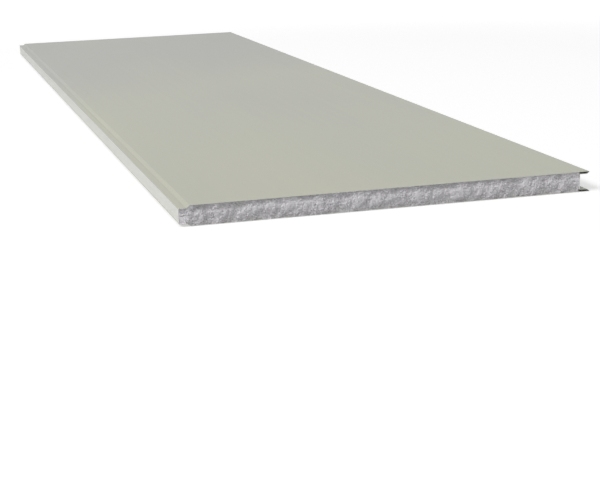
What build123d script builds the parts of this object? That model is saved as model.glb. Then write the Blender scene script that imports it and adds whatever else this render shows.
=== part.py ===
from build123d import *
import os

# A flat sandwich panel for walls and cold rooms: two roll-formed steel facings
# bonded to a core of expanded polystyrene, with a tongue along one long edge
# and the groove for the next panel's tongue along the other.
# Millimetres. X runs across the panel, Y along it and Z up. The origin is at
# the middle of the flat lower face. The tongue is at -X and the groove at +X.

# Panel
length = 4000
cover_width = 1000
thickness = 50

# Steel of the facings
sheet = 0.5
bend_radius = 0.3

# Tongue: each facing slopes in by a step, runs out flat and turns just over the nose
step_depth = 6.5
step_run = 9
tongue_length = 27
nose_lip = 2

# Groove: each facing runs out past the core, folds back under itself as a hollow
# ear and turns down the edge of the core
groove_lip = 12
joint_clearance = 0.5
end_clearance = 1

# Core
core_setback = 3

# Derived sizes of the joint. The underside of the ear is the tongue's outline
# moved out by the clearance, so that the step lies on the ear's sloping tip.
outer_bend = bend_radius + sheet
hem_depth = 2 * outer_bend
step_slope = step_depth / step_run
face_gap = (hem_depth + joint_clearance) / step_slope
ear_depth = step_depth - joint_clearance
ear_slope_run = (ear_depth - hem_depth) / step_slope

shoulder_x = -cover_width / 2
nose_x = shoulder_x - tongue_length
ear_tip_x = cover_width / 2 - face_gap
groove_foot_x = cover_width / 2 - tongue_length - end_clearance
core_edge_x = groove_foot_x - sheet
middle = thickness / 2
mid_plane = Plane.XY.offset(middle)

# Outside line of the upper facing round the tongue: points across the panel and
# up it, from the lip's end to the shoulder, with the bend at each corner
nose_z = thickness - step_depth
nose_lip_end = (nose_x, nose_z - nose_lip)
nose = (nose_x, nose_z)
step_foot = (shoulder_x - step_run, nose_z)
shoulder = (shoulder_x, thickness)
tongue_line = [nose_lip_end, nose, step_foot, shoulder]
tongue_bends = [outer_bend, bend_radius, outer_bend]

# The same line from the flat face round the ear's hem, back to the core and
# down its edge
ear_z = thickness - ear_depth
hem_top = (ear_tip_x, thickness)
hem_bottom = (ear_tip_x, thickness - hem_depth)
ear_slope_foot = (ear_tip_x - ear_slope_run, ear_z)
groove_corner = (groove_foot_x, ear_z)
groove_lip_end = (groove_foot_x, ear_z - groove_lip)
ear_line = [hem_top, hem_bottom, ear_slope_foot, groove_corner, groove_lip_end]
ear_bends = [outer_bend, outer_bend, outer_bend, bend_radius]

# Upper facing: one strip of painted sheet with both edges roll-formed
with BuildPart() as upper_facing:
    with BuildSketch(Plane.XZ):
        with BuildLine():
            FilletPolyline(*tongue_line, *ear_line, radius=[*tongue_bends, *ear_bends])
            offset(amount=sheet, side=Side.RIGHT)
        make_face()
    extrude(amount=length / 2, both=True)

# Lower facing: the same strip turned over
with BuildPart() as lower_facing:
    mirror(upper_facing.part, about=mid_plane)

# Core: fills the panel between the facings, milled to the tongue behind their
# bends and cut off square at the foot of the groove
flat_end = (core_edge_x, thickness)
nose_top = (nose_x + sheet, nose_z - nose_lip)
nose_middle = (nose_x + sheet, middle)
groove_top = (core_edge_x, thickness - sheet)
groove_middle = (core_edge_x, middle)
with BuildPart() as core:
    with BuildSketch(Plane.XZ):
        with BuildLine():
            bonded_line = FilletPolyline(*tongue_line, flat_end, radius=tongue_bends, mode=Mode.PRIVATE)
            offset(bonded_line, amount=sheet, side=Side.RIGHT, closed=False, mode=Mode.ADD)
            Line(nose_top, nose_middle)
            Line(groove_top, groove_middle)
            mirror(about=Plane.XZ.offset(-middle))
        make_face()
    extrude(amount=length / 2 - core_setback, both=True)

upper_facing.part.label = "upper_facing"
lower_facing.part.label = "lower_facing"
core.part.label = "core"

os.makedirs("parts", exist_ok=True)
export_step(upper_facing.part, "parts/upper_facing.step")
export_step(lower_facing.part, "parts/lower_facing.step")
export_step(core.part, "parts/core.step")
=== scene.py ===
"""Looks of a polystyrene sandwich panel: two painted steel facings on a bead foam core.

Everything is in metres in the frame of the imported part: X across the panel from the
tongue to the groove, Y along it and Z up, with the flat lower face at Z = 0.
"""
import logging
import math
from dataclasses import dataclass, field
from enum import Enum
from typing import TypeAlias

import bmesh
import bpy
from mathutils import Matrix, Quaternion, Vector, noise


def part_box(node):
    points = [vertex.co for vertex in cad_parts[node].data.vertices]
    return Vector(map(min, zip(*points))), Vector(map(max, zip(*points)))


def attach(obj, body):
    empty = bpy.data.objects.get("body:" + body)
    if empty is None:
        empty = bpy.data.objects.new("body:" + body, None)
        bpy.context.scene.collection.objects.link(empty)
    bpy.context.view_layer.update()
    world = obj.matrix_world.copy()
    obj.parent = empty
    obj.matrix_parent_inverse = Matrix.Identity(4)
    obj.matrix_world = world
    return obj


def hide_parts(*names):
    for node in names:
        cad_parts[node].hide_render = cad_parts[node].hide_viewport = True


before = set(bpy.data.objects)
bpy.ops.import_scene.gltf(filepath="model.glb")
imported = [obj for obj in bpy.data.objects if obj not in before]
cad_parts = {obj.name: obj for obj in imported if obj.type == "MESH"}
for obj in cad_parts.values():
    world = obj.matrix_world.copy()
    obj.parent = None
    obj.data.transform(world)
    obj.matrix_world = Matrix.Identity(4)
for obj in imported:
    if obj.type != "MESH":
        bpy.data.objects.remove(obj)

LOG = logging.getLogger("panel")
MM = 0.001
TOUCH = 0.01 * MM
RELIEF = "relief"
Triple: TypeAlias = tuple[float, float, float]
Colour: TypeAlias = Triple
Element: TypeAlias = bmesh.types.BMVert | bmesh.types.BMEdge | bmesh.types.BMFace
Number: TypeAlias = "float | Signal"
Tint: TypeAlias = "Colour | Signal"


class Side(Enum):
    """The two facings, by the sign of their outward direction."""

    UPPER = 1
    LOWER = -1


class End(Enum):
    """The two cut ends of the panel, by the sign of their outward direction."""

    NEAR = -1
    FAR = 1


def smooth_step(low: float, high: float, value: float) -> float:
    """Eases from 0 to 1 between two values.

    Args:
        low: the value that gives 0.
        high: the value that gives 1.
        value: where to read the step.

    Returns:
        A number from 0 to 1.
    """
    share = min(1.0, max(0.0, (value - low) / (high - low)))
    return share * share * (3.0 - 2.0 * share)


class Signal:
    """A shader socket that takes Python's own operators."""

    def __init__(self, graph: "Graph", socket: bpy.types.NodeSocket | None) -> None:
        """Wraps a socket.

        Args:
            graph: the node graph that the socket is in.
            socket: the output socket that carries the value, or none for a node that ends the graph.
        """
        self.graph = graph
        self.socket = socket

    def __add__(self, other: Number) -> "Signal":
        """Adds a value."""
        return self.graph.maths("ADD", self, other)

    def __radd__(self, other: Number) -> "Signal":
        """Adds to a value."""
        return self.graph.maths("ADD", other, self)

    def __sub__(self, other: Number) -> "Signal":
        """Takes a value away."""
        return self.graph.maths("SUBTRACT", self, other)

    def __rsub__(self, other: Number) -> "Signal":
        """Is taken away from a value."""
        return self.graph.maths("SUBTRACT", other, self)

    def __mul__(self, other: Number) -> "Signal":
        """Multiplies by a value."""
        return self.graph.maths("MULTIPLY", self, other)

    def __rmul__(self, other: Number) -> "Signal":
        """Multiplies a value."""
        return self.graph.maths("MULTIPLY", other, self)

    def __abs__(self) -> "Signal":
        """Gives the value without its sign."""
        return self.graph.maths("ABSOLUTE", self, 0.0)

    def either(self, other: Number) -> "Signal":
        """Gives the larger of two values."""
        return self.graph.maths("MAXIMUM", self, other)

    def beside(self, output: str) -> "Signal":
        """Gives another output of the same node."""
        return Signal(self.graph, self.socket.node.outputs[output])

    def above(self, low: float, high: float) -> "Signal":
        """Eases from 0 to 1 as the value goes from low to high.

        Args:
            low: the value that gives 0.
            high: the value that gives 1.

        Returns:
            The eased value.
        """
        inputs = {"Value": self, "From Min": low, "From Max": high}
        return self.graph.node("ShaderNodeMapRange", {"interpolation_type": "SMOOTHSTEP"}, inputs)


class Graph:
    """A node graph, of a material or of the surround."""

    def __init__(self, tree: bpy.types.NodeTree) -> None:
        """Empties the graph.

        Args:
            tree: the node tree of the material or the surround.
        """
        self.tree = tree
        self.tree.nodes.clear()

    def node(
        self,
        kind: str,
        settings: dict[str, object],
        inputs: dict[str | int, object],
        output: str | int = 0,
    ) -> Signal:
        """Adds a node.

        Args:
            kind: the node's type.
            settings: its properties, set before its sockets are read.
            inputs: the values or links of its sockets, by name or number.
            output: the socket to carry on with.

        Returns:
            The signal of that output.
        """
        made = self.tree.nodes.new(kind)
        for key, value in settings.items():
            setattr(made, key, value)
        for key, value in inputs.items():
            socket = made.inputs[key]
            if isinstance(value, Signal):
                self.tree.links.new(value.socket, socket)
            else:
                socket.default_value = value
        return Signal(self, made.outputs[output] if made.outputs else None)

    def maths(self, operation: str, first: Number, second: Number) -> Signal:
        """Adds one Math node on two values."""
        return self.node("ShaderNodeMath", {"operation": operation}, {0: first, 1: second})

    def blend(self, share: Number, first: Tint, second: Tint) -> Signal:
        """Mixes two colours.

        Args:
            share: 0 for the first colour and 1 for the second.
            first: the colour at 0.
            second: the colour at 1.

        Returns:
            The mixed colour.
        """
        colours = [c if isinstance(c, Signal) else (*c, 1.0) for c in (first, second)]
        inputs = {0: share, 6: colours[0], 7: colours[1]}
        return self.node("ShaderNodeMix", {"data_type": "RGBA"}, inputs, 2)

    def seen_directly(self) -> Signal:
        """Gives 1 for what the camera, a reflection or a see-through sees, and 0 for lighting."""
        camera = self.node("ShaderNodeLightPath", {}, {}, "Is Camera Ray")
        return camera.either(camera.beside("Is Glossy Ray")).either(camera.beside("Is Transmission Ray"))


class Finish(Graph):
    """The node graph of one material."""

    def __init__(self, name: str) -> None:
        """Makes the material.

        Args:
            name: the material's name.
        """
        self.material = bpy.data.materials.new(name)
        self.material.use_nodes = True
        super().__init__(self.material.node_tree)
        self.place = self.node("ShaderNodeTexCoord", {}, {}, "Object")

    def stretched(self, scale: Triple) -> Signal:
        """Gives the object's own coordinates, scaled along each axis.

        Args:
            scale: the number of units per metre along X, Y and Z.

        Returns:
            The scaled coordinates.
        """
        inputs = {"Vector": self.place, "Scale": scale}
        return self.node("ShaderNodeMapping", {"vector_type": "POINT"}, inputs)

    def cloud(self, scale: Triple, detail: float = 2.0, rough: float = 0.5) -> Signal:
        """Gives soft noise from about 0 to 1.

        Args:
            scale: the number of patches per metre along X, Y and Z.
            detail: how many finer layers it has.
            rough: how strong the finer layers are.

        Returns:
            The noise value.
        """
        inputs = {"Vector": self.stretched(scale), "Scale": 1.0, "Detail": detail, "Roughness": rough}
        return self.node("ShaderNodeTexNoise", {"noise_dimensions": "3D"}, inputs)

    def along(self, axis: str) -> Signal:
        """Gives one of the object's own coordinates."""
        return self.node("ShaderNodeSeparateXYZ", {}, {"Vector": self.place}, axis)

    def cells(self, size: float, feature: str, output: str) -> Signal:
        """Gives a packing of cells.

        Args:
            size: the cells' size in metres.
            feature: the Voronoi feature, such as F1 or DISTANCE_TO_EDGE.
            output: the socket to carry on with.

        Returns:
            The cell pattern's value or colour.
        """
        inputs = {"Vector": self.place, "Scale": 1.0 / size, "Randomness": 1.0}
        return self.node("ShaderNodeTexVoronoi", {"feature": feature}, inputs, output)

    def bump(self, height: Signal, distance: float) -> Signal:
        """Turns a height from 0 to 1 into a bumped normal.

        Args:
            height: the height.
            distance: how far, in metres, the height of 1 stands up.

        Returns:
            The normal.
        """
        return self.node("ShaderNodeBump", {}, {"Height": height, "Distance": distance})

    def surface(self, inputs: dict[str | int, object]) -> bpy.types.Material:
        """Ends the graph in a Principled shader.

        Args:
            inputs: the shader's sockets.

        Returns:
            The finished material.
        """
        shader = self.node("ShaderNodeBsdfPrincipled", {}, inputs)
        return self.finish(shader)

    def finish(self, shader: Signal) -> bpy.types.Material:
        """Links a shader to the output and gives the material back."""
        self.node("ShaderNodeOutputMaterial", {}, {"Surface": shader})
        return self.material


@dataclass(frozen=True)
class CoilPaint:
    """Satin grey-white paint on the sheet, in soft patches and streaks, with painted sheen that turns it
    greyer towards the far end.
    """

    colour: Colour = (0.483, 0.488, 0.386)
    # The second colour stands for wear in the patches and streaks, and for painted sheen towards the far end.
    wear_and_sheen_colour: Colour = (0.443, 0.447, 0.424)
    patches_per_metre: Triple = (1.3, 0.6, 1.3)
    patch_detail: float = 3.0
    patch_share: float = 0.5
    streaks_per_metre: Triple = (60.0, 0.8, 60.0)
    streak_share: float = 0.2
    # Where along the panel the painted sheen starts and where it is full.
    painted_sheen_from: float = -1.4
    painted_sheen_to: float = 1.6
    painted_sheen_share: float = 0.3
    blend_from: float = 0.2
    blend_to: float = 0.8
    roughness: float = 0.42
    roughness_spread: float = 0.06
    specular: float = 0.2
    peel_size: float = 1.6 * MM
    peel_height: float = 0.006 * MM

    def build(self) -> bpy.types.Material:
        """Makes the paint's material.

        Returns:
            The material.
        """
        graph = Finish("coil_paint")
        patches = graph.cloud(self.patches_per_metre, self.patch_detail)
        streaks = graph.cloud(self.streaks_per_metre)
        # Painted sheen: the paint turns greyer towards the far end, standing in for grazing reflection.
        painted_sheen = graph.along("Y").above(self.painted_sheen_from, self.painted_sheen_to)
        wear_and_sheen_sum = patches * self.patch_share + streaks * self.streak_share + painted_sheen * self.painted_sheen_share
        wear_and_sheen = wear_and_sheen_sum.above(self.blend_from, self.blend_to)
        peel = graph.cloud((1.0 / self.peel_size,) * 3, 1.0)
        return graph.surface(
            {
                "Base Color": graph.blend(wear_and_sheen, self.colour, self.wear_and_sheen_colour),
                "Roughness": self.roughness + (wear_and_sheen - 0.5) * self.roughness_spread,
                "Specular IOR Level": self.specular,
                "Normal": graph.bump(peel, self.peel_height),
            }
        )


@dataclass(frozen=True)
class CutSteel:
    """Bare zinc-coated steel where the sheet is sheared or sawn."""

    colour: Colour = (0.62, 0.62, 0.6)
    dull_colour: Colour = (0.46, 0.46, 0.44)
    metallic: float = 0.4
    roughness: float = 0.5
    roughness_spread: float = 0.3
    mark_spacing: float = 0.7 * MM
    mark_height: float = 5.0 * MM
    mark_depth: float = 0.02 * MM
    mark_detail: float = 3.0
    mark_harshness: float = 0.6
    dull_from: float = 0.35
    dull_to: float = 0.65

    def build(self) -> bpy.types.Material:
        """Makes the cut steel's material.

        Returns:
            The material.
        """
        graph = Finish("cut_steel")
        per_metre = (1.0 / self.mark_spacing, 1.0 / self.mark_spacing, 1.0 / self.mark_height)
        marks = graph.cloud(per_metre, self.mark_detail, self.mark_harshness)
        dull = marks.above(self.dull_from, self.dull_to)
        return graph.surface(
            {
                "Base Color": graph.blend(dull, self.colour, self.dull_colour),
                "Metallic": self.metallic,
                "Roughness": self.roughness + (marks - 0.5) * self.roughness_spread,
                "Normal": graph.bump(marks, self.mark_depth),
            }
        )


@dataclass(frozen=True)
class BackingCoat:
    """Thin grey coat on the inside of the sheet, which shows in the hollow ears."""

    colour: Colour = (0.74, 0.74, 0.71)
    thin_share: float = 0.88
    streaks_per_metre: Triple = (90.0, 2.0, 90.0)
    thin_from: float = 0.3
    thin_to: float = 0.7
    roughness: float = 0.6
    specular: float = 0.3

    def build(self) -> bpy.types.Material:
        """Makes the backing coat's material.

        Returns:
            The material.
        """
        graph = Finish("backing_coat")
        thin = graph.cloud(self.streaks_per_metre).above(self.thin_from, self.thin_to)
        thin_colour = tuple(self.thin_share * part for part in self.colour)
        return graph.surface(
            {
                "Base Color": graph.blend(thin, self.colour, thin_colour),
                "Roughness": self.roughness,
                "Specular IOR Level": self.specular,
            }
        )


@dataclass(frozen=True)
class BeadFoam:
    """Expanded polystyrene: beads pressed flat against each other, with open seams between them. Its colours
    carry a lavender cast of painted cool shade, painted shade in the hollows of the torn ends and painted
    warm light on the bare strips of the long edges.
    """

    bead: float = 4.2 * MM
    # The lavender cast of these foam colours is painted cool shade of the cut ends.
    colour: Colour = (0.85, 0.833, 0.855)
    seam_colour: Colour = (0.725, 0.708, 0.735)
    # Painted shade: the hollows of the torn ends are darkened towards this colour.
    painted_shade_colour: Colour = (0.655, 0.64, 0.665)
    # Painted warm light: the bare strips of the long edges, away from the cut ends, are tinted towards this
    # colour.
    painted_warm_light_colour: Colour = (0.858, 0.866, 0.79)
    painted_warm_light_share: float = 0.8
    painted_warm_light_end: float = 1.99
    painted_warm_light_fade: float = 5.0 * MM
    seam_width: float = 0.12
    seam_share: float = 0.6
    dome_width: float = 0.45
    dome_share: float = 0.8
    bead_tint_share: float = 0.35
    bead_height_share: float = 0.35
    painted_shade_from: float = 0.1
    painted_shade_to: float = 0.75
    painted_shade_share: float = 0.7
    grain: float = 0.9 * MM
    grain_share: float = 0.15
    relief_height: float = 0.7 * MM
    roughness: float = 0.85
    specular: float = 0.2

    def build(self) -> bpy.types.Material:
        """Makes the foam's material.

        Returns:
            The material.
        """
        graph = Finish("bead_foam")
        to_seam = graph.cells(self.bead, "DISTANCE_TO_EDGE", "Distance")
        bead_colour = graph.cells(self.bead, "F1", "Color")
        bead_value = graph.node("ShaderNodeSeparateColor", {}, {"Color": bead_colour}, "Red")
        seam = 1.0 - to_seam.above(0.0, self.seam_width)
        dome = to_seam.above(0.0, self.dome_width)
        grain = graph.cloud((1.0 / self.grain,) * 3)
        relief = graph.node("ShaderNodeAttribute", {"attribute_name": RELIEF}, {}, "Fac")
        # Painted shade in the hollows, read from the relief attribute of the mesh.
        hollow = 1.0 - relief.above(self.painted_shade_from, self.painted_shade_to)
        # Painted warm light on the long edges, which fades out at the cut ends.
        inner = 1.0 - abs(graph.along("Y")).above(self.painted_warm_light_end, self.painted_warm_light_end + self.painted_warm_light_fade)
        tint = graph.blend(bead_value * self.bead_tint_share, self.colour, self.seam_colour)
        warm_lit = graph.blend(inner * self.painted_warm_light_share, tint, self.painted_warm_light_colour)
        seamed = graph.blend(seam * self.seam_share, warm_lit, self.seam_colour)
        shaded = graph.blend(hollow * self.painted_shade_share, seamed, self.painted_shade_colour)
        bead_height = dome * self.dome_share + bead_value * self.bead_height_share
        height = bead_height + grain * self.grain_share
        return graph.surface(
            {
                "Base Color": shaded,
                "Roughness": self.roughness,
                "Specular IOR Level": self.specular,
                "Normal": graph.bump(height, self.relief_height),
            }
        )


@dataclass(frozen=True)
class StudioFloor:
    """Plain floor that reads white and keeps the panel's shadow, and is lifted more further away."""

    colour: Colour = (0.62, 0.62, 0.62)
    lift: float = 0.52
    far_lift: float = 0.8
    lift_from: float = 2.0
    lift_to: float = 6.0

    def build(self) -> bpy.types.Material:
        """Makes the floor's material.

        Returns:
            The material.
        """
        graph = Finish("studio_floor")
        paint = graph.node("ShaderNodeBsdfDiffuse", {}, {"Color": (*self.colour, 1.0)})
        away = graph.node("ShaderNodeVectorMath", {"operation": "LENGTH"}, {0: graph.place}, "Value")
        lift = self.lift + away.above(self.lift_from, self.lift_to) * (self.far_lift - self.lift)
        glow = graph.node("ShaderNodeEmission", {}, {"Strength": graph.seen_directly() * lift})
        return graph.finish(graph.node("ShaderNodeAddShader", {}, {0: paint, 1: glow}))


def add_object(name: str, data: bpy.types.ID) -> bpy.types.Object:
    """Makes an object of a mesh, a light or a camera, and puts it into the scene.

    Args:
        name: the object's name.
        data: what it shows.

    Returns:
        The new object, at the origin.
    """
    made = bpy.data.objects.new(name, data)
    bpy.context.scene.collection.objects.link(made)
    return made


def add_shape(
    name: str, shape: bmesh.types.BMesh, materials: list[bpy.types.Material]
) -> bpy.types.Object:
    """Makes an object of a bmesh.

    Args:
        name: the object's name.
        shape: the shape, which is freed.
        materials: the materials, in the order of the faces' indices.

    Returns:
        The new object, at the origin.
    """
    mesh = bpy.data.meshes.new(name)
    shape.to_mesh(mesh)
    shape.free()
    for material in materials:
        mesh.materials.append(material)
    return add_object(name, mesh)


def add_piece(
    name: str, shape: bmesh.types.BMesh, materials: list[bpy.types.Material]
) -> bpy.types.Object:
    """Makes a piece of a bmesh, and lets it ride with the panel.

    Args:
        name: the piece's name.
        shape: the shape, which is freed.
        materials: the piece's materials, in the order of its faces' indices.

    Returns:
        The new piece.
    """
    piece = add_shape(name, shape, materials)
    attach(piece, "root")
    return piece


def pull_along(shape: bmesh.types.BMesh, pulled: list[Element], reach: float) -> None:
    """Moves what an extrusion has just made along Y.

    Args:
        shape: the shape that was extruded.
        pulled: the new vertices, edges and faces.
        reach: how far they go.
    """
    moved = [part for part in pulled if isinstance(part, bmesh.types.BMVert)]
    bmesh.ops.translate(shape, verts=moved, vec=(0.0, reach, 0.0))


def aimed(way: Vector) -> Quaternion:
    """Gives the turn that points a camera or a lamp along a direction, with its top up."""
    return way.to_track_quat("-Z", "Y")


@dataclass(frozen=True)
class Bend:
    """One corner of the sheet's outer line: its place across the panel and up it, and its outer radius."""

    x: float
    z: float
    radius: float = 0.0


@dataclass
class Facing:
    """One roll-formed facing: a long strip of sheet with a tongue edge and a folded ear."""

    side: Side
    node: str
    sheet: float
    paint: bpy.types.Material
    cut_steel: bpy.types.Material
    backing: bpy.types.Material
    bend_radius: float = 0.3 * MM
    tongue_length: float = 27.0 * MM
    step_depth: float = 6.5 * MM
    step_run: float = 9.0 * MM
    nose_lip: float = 2.0 * MM
    groove_lip: float = 12.0 * MM
    joint_clearance: float = 0.5 * MM
    bend_segments: int = 5
    cuts_along: int = 96
    cuts_across: int = 23
    wave_depth: float = 0.16 * MM
    wave_fade: float = 60.0 * MM
    waves_across: float = 4.0
    waves_along: float = 2.0
    wave_shift: float = 5.0
    end_normal: float = 0.9
    sharp_angle: float = math.radians(40.0)
    low: Vector = field(init=False)
    high: Vector = field(init=False)
    groove_foot: float = field(init=False)

    def __post_init__(self) -> None:
        """Reads the facing's box and the groove's foot from the frame."""
        self.low, self.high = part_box(self.node)
        self.groove_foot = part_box("core")[1].x + self.sheet

    def outline(self, top: float) -> list[Bend]:
        """Gives the outer line of the upper facing from the tongue's lip to the groove's lip.

        Args:
            top: the height of the flat face.

        Returns:
            The line's corners.
        """
        outer = self.bend_radius + self.sheet
        hem = 2.0 * outer
        slope = self.step_depth / self.step_run
        ear_depth = self.step_depth - self.joint_clearance
        nose_z = top - self.step_depth
        shoulder_x = self.low.x + self.tongue_length
        tip_x = self.high.x
        ear_foot_x = tip_x - (ear_depth - hem) / slope
        return [
            Bend(self.low.x, nose_z - self.nose_lip),
            Bend(self.low.x, nose_z, outer),
            Bend(shoulder_x - self.step_run, nose_z, self.bend_radius),
            Bend(shoulder_x, top, outer),
            Bend(tip_x, top, outer),
            Bend(tip_x, top - hem, outer),
            Bend(ear_foot_x, top - ear_depth, outer),
            Bend(self.groove_foot, top - ear_depth, self.bend_radius),
            Bend(self.groove_foot, top - ear_depth - self.groove_lip),
        ]

    def strip(self, corners: list[Bend]) -> bmesh.types.BMesh:
        """Draws the outer line at the near end and pulls it out to the far end.

        Args:
            corners: the line's corners.

        Returns:
            The strip, still with sharp corners and no thickness.
        """
        shape = bmesh.new()
        dots = [shape.verts.new((corner.x, self.low.y, corner.z)) for corner in corners]
        line = [shape.edges.new(pair) for pair in zip(dots, dots[1:])]
        pulled = bmesh.ops.extrude_edge_only(shape, edges=line)["geom"]
        pull_along(shape, pulled, self.high.y - self.low.y)
        return shape

    def roll_bends(self, shape: bmesh.types.BMesh, corners: list[Bend]) -> None:
        """Rounds each corner of the strip to its radius.

        Args:
            shape: the strip.
            corners: the line's corners.
        """
        for before, corner, after in zip(corners, corners[1:], corners[2:]):
            way_in = Vector((corner.x - before.x, corner.z - before.z))
            way_out = Vector((after.x - corner.x, after.z - corner.z))
            tangent = corner.radius * math.tan(way_in.angle(way_out) / 2.0)
            here = Vector((corner.x, 0.0, corner.z))
            folded = [
                edge
                for edge in shape.edges
                if all((Vector((v.co.x, 0.0, v.co.z)) - here).length < TOUCH for v in edge.verts)
            ]
            bmesh.ops.bevel(
                shape,
                geom=folded,
                offset=tangent,
                offset_type="OFFSET",
                segments=self.bend_segments,
                profile=0.5,
                affect="EDGES",
                material=-1,
            )

    def divide(self, shape: bmesh.types.BMesh) -> None:
        """Cuts the strip across its length, and its wide flat face across its width too.

        Args:
            shape: the strip.
        """
        half = (self.high - self.low) / 2.0
        along = [edge for edge in shape.edges if self.reach(edge).y > half.y]
        bmesh.ops.subdivide_edges(shape, edges=along, cuts=self.cuts_along)
        wide = [edge for edge in shape.edges if self.reach(edge).x > half.x]
        bmesh.ops.subdivide_edges(shape, edges=wide, cuts=self.cuts_across)

    @staticmethod
    def reach(edge: bmesh.types.BMEdge) -> Vector:
        """Gives how far an edge reaches along each axis."""
        start, stop = (dot.co for dot in edge.verts)
        return Vector([abs(part) for part in stop - start])

    def wave(self, shape: bmesh.types.BMesh, top: float) -> None:
        """Lets the wide flat face sink by the faint waves of rolled sheet, never above its plane.

        Args:
            shape: the strip.
            top: the height of the flat face.
        """
        shoulder_x = self.low.x + self.tongue_length
        for dot in shape.verts:
            if abs(dot.co.z - top) > TOUCH:
                continue
            inside = min(dot.co.x - shoulder_x, self.groove_foot - dot.co.x)
            fade = smooth_step(0.0, self.wave_fade, inside)
            across, along = dot.co.x * self.waves_across, dot.co.y * self.waves_along
            place = Vector((across, along, self.wave_shift * self.side.value))
            dot.co.z -= self.wave_depth * fade * (0.5 + 0.5 * noise.noise(place))

    def thicken(self, shape: bmesh.types.BMesh) -> set[Element]:
        """Gives the strip the sheet's thickness, inwards from its outer line.

        Args:
            shape: the strip.

        Returns:
            The faces of its inside.
        """
        bmesh.ops.recalc_face_normals(shape, faces=shape.faces)
        top_face = max(shape.faces, key=lambda face: face.calc_area())
        if top_face.normal.z < 0.0:
            bmesh.ops.reverse_faces(shape, faces=shape.faces)
        return set(bmesh.ops.solidify(shape, geom=shape.faces[:], thickness=self.sheet)["geom"])

    @staticmethod
    def turn_over(shape: bmesh.types.BMesh, low: float, high: float) -> None:
        """Mirrors the sheet from one side of the panel to the other.

        Args:
            shape: the sheet.
            low: the height of the panel's lower face.
            high: the height of its upper face.
        """
        turned = Matrix.Translation((0.0, 0.0, low + high)) @ Matrix.Diagonal((1.0, 1.0, -1.0, 1.0))
        bmesh.ops.transform(shape, matrix=turned, verts=shape.verts)

    def coat(self, shape: bmesh.types.BMesh, inner: set[Element]) -> list[bpy.types.Material]:
        """Gives each face its finish: bare steel at the cut ends, backing coat inside or paint.

        Args:
            shape: the sheet.
            inner: the faces of its inside.

        Returns:
            The materials, in the order of the faces' indices.
        """
        coats = [self.paint, self.cut_steel, self.backing]
        for face in shape.faces:
            face.smooth = True
            at_end = abs(face.normal.y) > self.end_normal
            chosen = self.cut_steel if at_end else self.backing if face in inner else self.paint
            face.material_index = coats.index(chosen)
        return coats

    def build(self) -> bpy.types.Object:
        """Makes the facing in place of its node.

        Returns:
            The finished piece.
        """
        low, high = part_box("lower_facing")[0].z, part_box("upper_facing")[1].z
        corners = self.outline(high)
        shape = self.strip(corners)
        self.roll_bends(shape, corners)
        self.divide(shape)
        self.wave(shape, high)
        inner = self.thicken(shape)
        if self.side is Side.LOWER:
            self.turn_over(shape, low, high)
        bmesh.ops.recalc_face_normals(shape, faces=shape.faces)
        coats = self.coat(shape, inner)
        piece = add_piece(f"{self.node}_sheet", shape, coats)
        piece.data.set_sharp_from_angle(angle=self.sharp_angle)
        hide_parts(self.node)
        return piece


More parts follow.
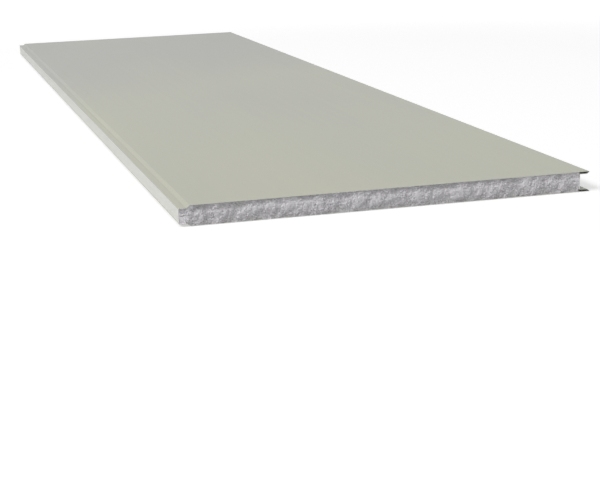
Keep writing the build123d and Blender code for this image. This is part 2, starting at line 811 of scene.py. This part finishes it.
@dataclass(frozen=True)
class TornRelief:
    """Relief of a foam end that a saw has cut and crumbled, in metres outwards from the cut."""

    stand: float = 1.6 * MM
    upper_fall: float = 2.4 * MM
    upper_hold: float = 11.5 * MM
    upper_reach: float = 20.5 * MM
    lower_fall: float = 5.0 * MM
    lower_reach: float = 28.0 * MM
    lower_bow: float = 1.35
    nose_fall: float = 4.0 * MM
    nose_reach: float = 15.0 * MM
    tongue_share: float = 0.12
    tongue_reach: float = 40.0 * MM
    drift: float = 120.0 * MM
    drift_share: float = 0.3
    lump: float = 25.0 * MM
    lump_height: float = 4.2 * MM
    lump_squash: float = 0.8
    lump_layers: int = 2
    lump_layer_share: float = 1.0
    lump_layer_ratio: float = 2.0
    knob: float = 12.0 * MM
    knob_height: float = 1.8 * MM
    knob_squash: float = 0.9
    bead: float = 4.4 * MM
    bead_height: float = 0.65 * MM
    bead_reach: float = 0.62
    bead_spread: float = 0.8
    pit_depth: float = 1.2 * MM
    pit_share: float = 0.07
    pit_seed: float = 7.3
    drift_seed: float = 2.0
    knob_seed: float = 5.0
    end_seed: float = 3.7
    limit: float = 2.6 * MM

    def fall(self, below: float, above: float, inside: float, drift: float) -> float:
        """Gives how far the foam is torn back near the facings and near the nose.

        Args:
            below: the distance down from the upper facing.
            above: the distance up from the lower facing.
            inside: the distance in from the nose.
            drift: the slow change along the end, from -1 to 1.

        Returns:
            The distance inwards.
        """
        upper = 1.0 - smooth_step(self.upper_hold, self.upper_reach, below)
        lower = max(0.0, 1.0 - above / self.lower_reach) ** self.lower_bow
        nose = max(0.0, 1.0 - inside / self.nose_reach) ** 2
        past_tongue = smooth_step(self.tongue_reach / 2.0, self.tongue_reach, inside)
        slab_share = self.tongue_share + (1.0 - self.tongue_share) * past_tongue
        at_upper = self.upper_fall * upper * (1.0 + self.drift_share * drift)
        at_lower = self.lower_fall * lower * (1.0 - self.drift_share * drift)
        return (at_upper + at_lower) * slab_share + self.nose_fall * nose

    def crumbs(self, x: float, z: float, shift: float) -> float:
        """Gives the lumps, the beads and the holes that lost beads leave.

        Args:
            x: the place across the panel.
            z: the place up the panel.
            shift: what sets one end apart from the other.

        Returns:
            The distance outwards.
        """
        lump_place = Vector((x / self.lump, shift, self.lump_squash * z / self.lump))
        knob_place = Vector((x / self.knob, shift + self.knob_seed, self.knob_squash * z / self.knob))
        lumps = noise.fractal(lump_place, self.lump_layer_share, self.lump_layer_ratio, self.lump_layers)
        knobs = noise.noise(knob_place)
        spread, centres = noise.voronoi(Vector((x / self.bead, shift, z / self.bead)))
        dome = 1.0 - min(1.0, spread[0] / self.bead_reach) ** 2
        loose = noise.cell(centres[0] * self.pit_seed)
        bead = self.bead_height * (dome - 0.5 + self.bead_spread * (loose - 0.5))
        pit = self.pit_depth if loose < self.pit_share else 0.0
        return self.lump_height * lumps + self.knob_height * knobs + bead - pit

    def height(self, x: float, z: float, skin: tuple[float, float], inside: float, end: End) -> float:
        """Gives how far the foam stands out at one place.

        Args:
            x: the place across the panel.
            z: the place up the panel.
            skin: the heights of the foam's lower and upper face there.
            inside: the distance in from the nose.
            end: which end of the panel.

        Returns:
            The distance outwards, which is negative where the foam is torn back.
        """
        shift = self.end_seed * end.value
        drift = noise.noise(Vector((x / self.drift, shift, self.drift_seed)))
        torn = self.fall(skin[1] - z, z - skin[0], inside, drift)
        relief = self.stand - torn + self.crumbs(x, z, shift)
        return self.limit * math.tanh(relief / self.limit) if relief > 0.0 else relief


@dataclass
class Core:
    """The foam slab between the facings, with crumbled ends and bare strips in its edges."""

    foam: bpy.types.Material
    sheet: float
    facing: Facing
    relief: TornRelief = TornRelief()
    pitch: float = 1.25 * MM
    bare_cuts: int = 399
    mill_depth: float = 0.25 * MM
    mill_length: float = 30.0 * MM
    mill_height: float = 8.0 * MM
    mill_seed: float = 50.0
    mill_level: float = 0.4
    # Relief depths at which the foam's painted shade is full and where it is gone.
    deep: float = -4.0 * MM
    proud: float = 2.5 * MM
    sharp_angle: float = math.radians(60.0)
    low: Vector = field(init=False)
    high: Vector = field(init=False)

    def __post_init__(self) -> None:
        """Reads the core's box from the frame."""
        self.low, self.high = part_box("core")

    def columns(self) -> list[Triple]:
        """Gives the upright lines that part the section.

        Returns:
            The place across the panel, the lower end and the upper end of each.
        """
        facing = self.facing
        shoulder_x = facing.low.x + facing.tongue_length
        slope_angle = math.atan2(facing.step_depth, facing.step_run)
        shift = self.sheet * math.tan(slope_angle / 2.0)
        low_step, high_step = self.low.z + facing.step_depth, self.high.z - facing.step_depth
        return [
            (self.low.x, low_step, high_step),
            (shoulder_x - facing.step_run + shift, low_step, high_step),
            (shoulder_x + shift, self.low.z, self.high.z),
            (self.high.x, self.low.z, self.high.z),
        ]

    def skin(self, x: float) -> tuple[float, float]:
        """Gives the heights of the foam's lower and upper face.

        Args:
            x: the place across the panel.

        Returns:
            The lower and the upper height.
        """
        lines = self.columns()
        for (left, *start), (right, *stop) in zip(lines, lines[1:]):
            if x <= right:
                share = max(0.0, (x - left) / (right - left))
                return tuple(a + share * (b - a) for a, b in zip(start, stop))
        return self.low.z, self.high.z

    def slab(self) -> bmesh.types.BMesh:
        """Makes the plain slab from one end to the other.

        Returns:
            The closed slab, with an upright quad for each part of its section.
        """
        shape = bmesh.new()
        lines = [
            [shape.verts.new((x, self.low.y, z)) for z in (bottom, top)] for x, bottom, top in self.columns()
        ]
        section = [shape.faces.new((a[0], b[0], b[1], a[1])) for a, b in zip(lines, lines[1:])]
        pulled = bmesh.ops.extrude_face_region(shape, geom=section)["geom"]
        pull_along(shape, pulled, self.high.y - self.low.y)
        return shape

    def divide(self, shape: bmesh.types.BMesh) -> None:
        """Cuts the ends into a fine grid and the bare strips of the edges into short fields.

        Args:
            shape: the slab.
        """
        rows = round((self.high.z - self.low.z) / self.pitch)
        upright = [edge for edge in shape.edges if self.is_upright(edge)]
        bmesh.ops.subdivide_edges(shape, edges=upright, cuts=rows - 1)
        lines = self.columns()
        for (left, *_), (right, *_) in zip(lines, lines[1:]):
            across = [edge for edge in shape.edges if self.spans(edge, left, right)]
            count = max(2, round((right - left) / self.pitch))
            bmesh.ops.subdivide_edges(shape, edges=across, cuts=count - 1)
        bare = [edge for edge in shape.edges if self.is_bare(edge)]
        bmesh.ops.subdivide_edges(shape, edges=bare, cuts=self.bare_cuts)

    @staticmethod
    def is_upright(edge: bmesh.types.BMEdge) -> bool:
        """Says if an edge of the slab stands upright at one of its ends."""
        start, stop = (dot.co for dot in edge.verts)
        return abs(start.x - stop.x) < TOUCH and abs(start.y - stop.y) < TOUCH

    @staticmethod
    def spans(edge: bmesh.types.BMEdge, left: float, right: float) -> bool:
        """Says if an edge runs from one upright line of the section to the next."""
        ends = sorted(dot.co.x for dot in edge.verts)
        return abs(ends[0] - left) < TOUCH and abs(ends[1] - right) < TOUCH

    def is_bare(self, edge: bmesh.types.BMEdge) -> bool:
        """Says if an edge runs along a strip that no lip of the facings covers.

        Args:
            edge: an edge of the slab.

        Returns:
            True if it does.
        """
        start, stop = (dot.co for dot in edge.verts)
        if abs(start.y - stop.y) < (self.high.y - self.low.y) / 2.0:
            return False
        middle = (self.low.z + self.high.z) / 2.0
        facing = self.facing
        nose_bare = middle - facing.step_depth - facing.nose_lip
        groove_bare = middle - facing.step_depth - facing.groove_lip
        reach = {self.low.x: nose_bare, self.high.x: groove_bare}
        off = abs(start.z - middle) - self.pitch
        return any(abs(start.x - x) < TOUCH and off < half for x, half in reach.items())

    def roughen(self, shape: bmesh.types.BMesh) -> None:
        """Moves the ends by their torn relief and the bare strips by the waves that milling leaves.

        Args:
            shape: the divided slab.
        """
        layer = shape.verts.layers.float.new(RELIEF)
        for dot in shape.verts:
            dot[layer] = 1.0
            end = next((side for side in End if abs(dot.co.y - side.value * self.high.y) < TOUCH), None)
            if end:
                inside = dot.co.x - self.low.x
                height = self.relief.height(dot.co.x, dot.co.z, self.skin(dot.co.x), inside, end)
                # The relief value of each end vertex sets how much painted shade the foam gets there.
                dot[layer] = smooth_step(self.deep, self.proud, height)
                dot.co.y += end.value * height
                continue
            for x, outward in ((self.low.x, -1.0), (self.high.x, 1.0)):
                if abs(dot.co.x - x) < TOUCH:
                    along, up = dot.co.y / self.mill_length, dot.co.z / self.mill_height
                    wave = noise.noise(Vector((x * self.mill_seed, along, up)))
                    dot.co.x += outward * self.mill_depth * (wave - self.mill_level)

    def build(self) -> bpy.types.Object:
        """Makes the core in place of its node.

        Returns:
            The finished piece.
        """
        shape = self.slab()
        self.divide(shape)
        self.roughen(shape)
        bmesh.ops.recalc_face_normals(shape, faces=shape.faces)
        for face in shape.faces:
            face.smooth = True
        piece = add_piece("foam_core", shape, [self.foam])
        piece.data.set_sharp_from_angle(angle=self.sharp_angle)
        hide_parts("core")
        return piece


@dataclass(frozen=True)
class Camera:
    """The camera, placed and aimed as the photograph was taken."""

    eye: Triple = (-1.1407, -5.3997, 0.7688)
    yaw: float = math.radians(14.794)
    pitch: float = math.radians(13.494)
    roll: float = math.radians(-1.838)
    focal_pixels: float = 1538.1
    image_pixels: float = 600.0
    sensor: float = 36.0
    sees_from: float = 0.05
    sees_to: float = 200.0

    def build(self) -> bpy.types.Object:
        """Makes the camera and gives it to the scene.

        Returns:
            The camera object.
        """
        data = bpy.data.cameras.new("camera")
        data.sensor_width = self.sensor
        data.lens = self.focal_pixels / self.image_pixels * self.sensor
        data.clip_start, data.clip_end = self.sees_from, self.sees_to
        camera = add_object("camera", data)
        level = math.cos(self.pitch)
        way = Vector((math.sin(self.yaw) * level, math.cos(self.yaw) * level, -math.sin(self.pitch)))
        camera.rotation_mode = "QUATERNION"
        camera.rotation_quaternion = aimed(way) @ Quaternion((0.0, 0.0, 1.0), self.roll)
        camera.location = self.eye
        bpy.context.scene.camera = camera
        return camera


@dataclass(frozen=True)
class Lamp:
    """A soft rectangular light."""

    name: str
    place: Triple
    aim: Triple
    size: tuple[float, float]
    power: float
    mirrored: bool = True

    def build(self) -> bpy.types.Object:
        """Makes the light, which sheen on the panel mirrors or not.

        Returns:
            The light object.
        """
        data = bpy.data.lights.new(self.name, "AREA")
        data.shape = "RECTANGLE"
        data.size, data.size_y = self.size
        data.energy = self.power
        lamp = add_object(self.name, data)
        lamp.visible_glossy = self.mirrored
        lamp.location = self.place
        lamp.rotation_mode = "QUATERNION"
        lamp.rotation_quaternion = aimed(Vector(self.aim) - Vector(self.place))
        return lamp


@dataclass(frozen=True)
class Studio:
    """The floor, the soft key light from above the tongue's side, two weak lamps and even light all round."""

    ambient: float = 0.345
    key: Lamp = Lamp("key", (-14.0, -7.0, 15.5), (0.0, -0.6, 0.0), (14.0, 7.0), 2940.0)
    fill: Lamp = Lamp("fill", (-0.8, -7.5, 6.8), (0.0, -2.0, 0.0), (3.0, 3.0), 32.0)
    back: Lamp = Lamp("back", (1.5, 9.0, 0.8), (0.2, 1.9, 0.0), (3.0, 1.2), 120.0, False)
    floor_size: float = 60.0
    floor_gap: float = 0.05 * MM

    def build_floor(self) -> bpy.types.Object:
        """Makes the floor just under the panel.

        Returns:
            The floor object.
        """
        shape = bmesh.new()
        bmesh.ops.create_grid(shape, x_segments=1, y_segments=1, size=self.floor_size / 2.0)
        bmesh.ops.translate(shape, verts=shape.verts, vec=(0.0, 0.0, -self.floor_gap))
        floor = add_shape("floor", shape, [StudioFloor().build()])
        return floor

    def build_surround(self) -> None:
        """Makes the even light all round, which reads white where it is seen."""
        world = bpy.data.worlds.new("surround")
        bpy.context.scene.world = world
        world.use_nodes = True
        graph = Graph(world.node_tree)
        strength = self.ambient + graph.seen_directly() * (1.0 - self.ambient)
        sky = graph.node("ShaderNodeBackground", {}, {"Color": (1.0, 1.0, 1.0, 1.0), "Strength": strength})
        graph.node("ShaderNodeOutputWorld", {}, {"Surface": sky})

    def build(self) -> None:
        """Makes the floor and the lights, and sets the plain view."""
        self.build_floor()
        for lamp in (self.key, self.fill, self.back):
            lamp.build()
        self.build_surround()
        bpy.context.scene.view_settings.view_transform = "Standard"


def main() -> None:
    """Builds the panel and its studio, and reports each piece."""
    logging.basicConfig(level=logging.INFO, format="%(name)s: %(message)s")
    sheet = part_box("upper_facing")[1].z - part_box("core")[1].z
    coats = [CoilPaint().build(), CutSteel().build(), BackingCoat().build()]
    facings = [
        Facing(Side.UPPER, "upper_facing", sheet, *coats),
        Facing(Side.LOWER, "lower_facing", sheet, *coats),
    ]
    core = Core(BeadFoam().build(), sheet, facings[0])
    for part in (*facings, core):
        piece = part.build()
        LOG.info("%s has %d faces", piece.name, len(piece.data.polygons))
    Studio().build()
    Camera().build()


if __name__ == "__main__":
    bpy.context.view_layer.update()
    main()
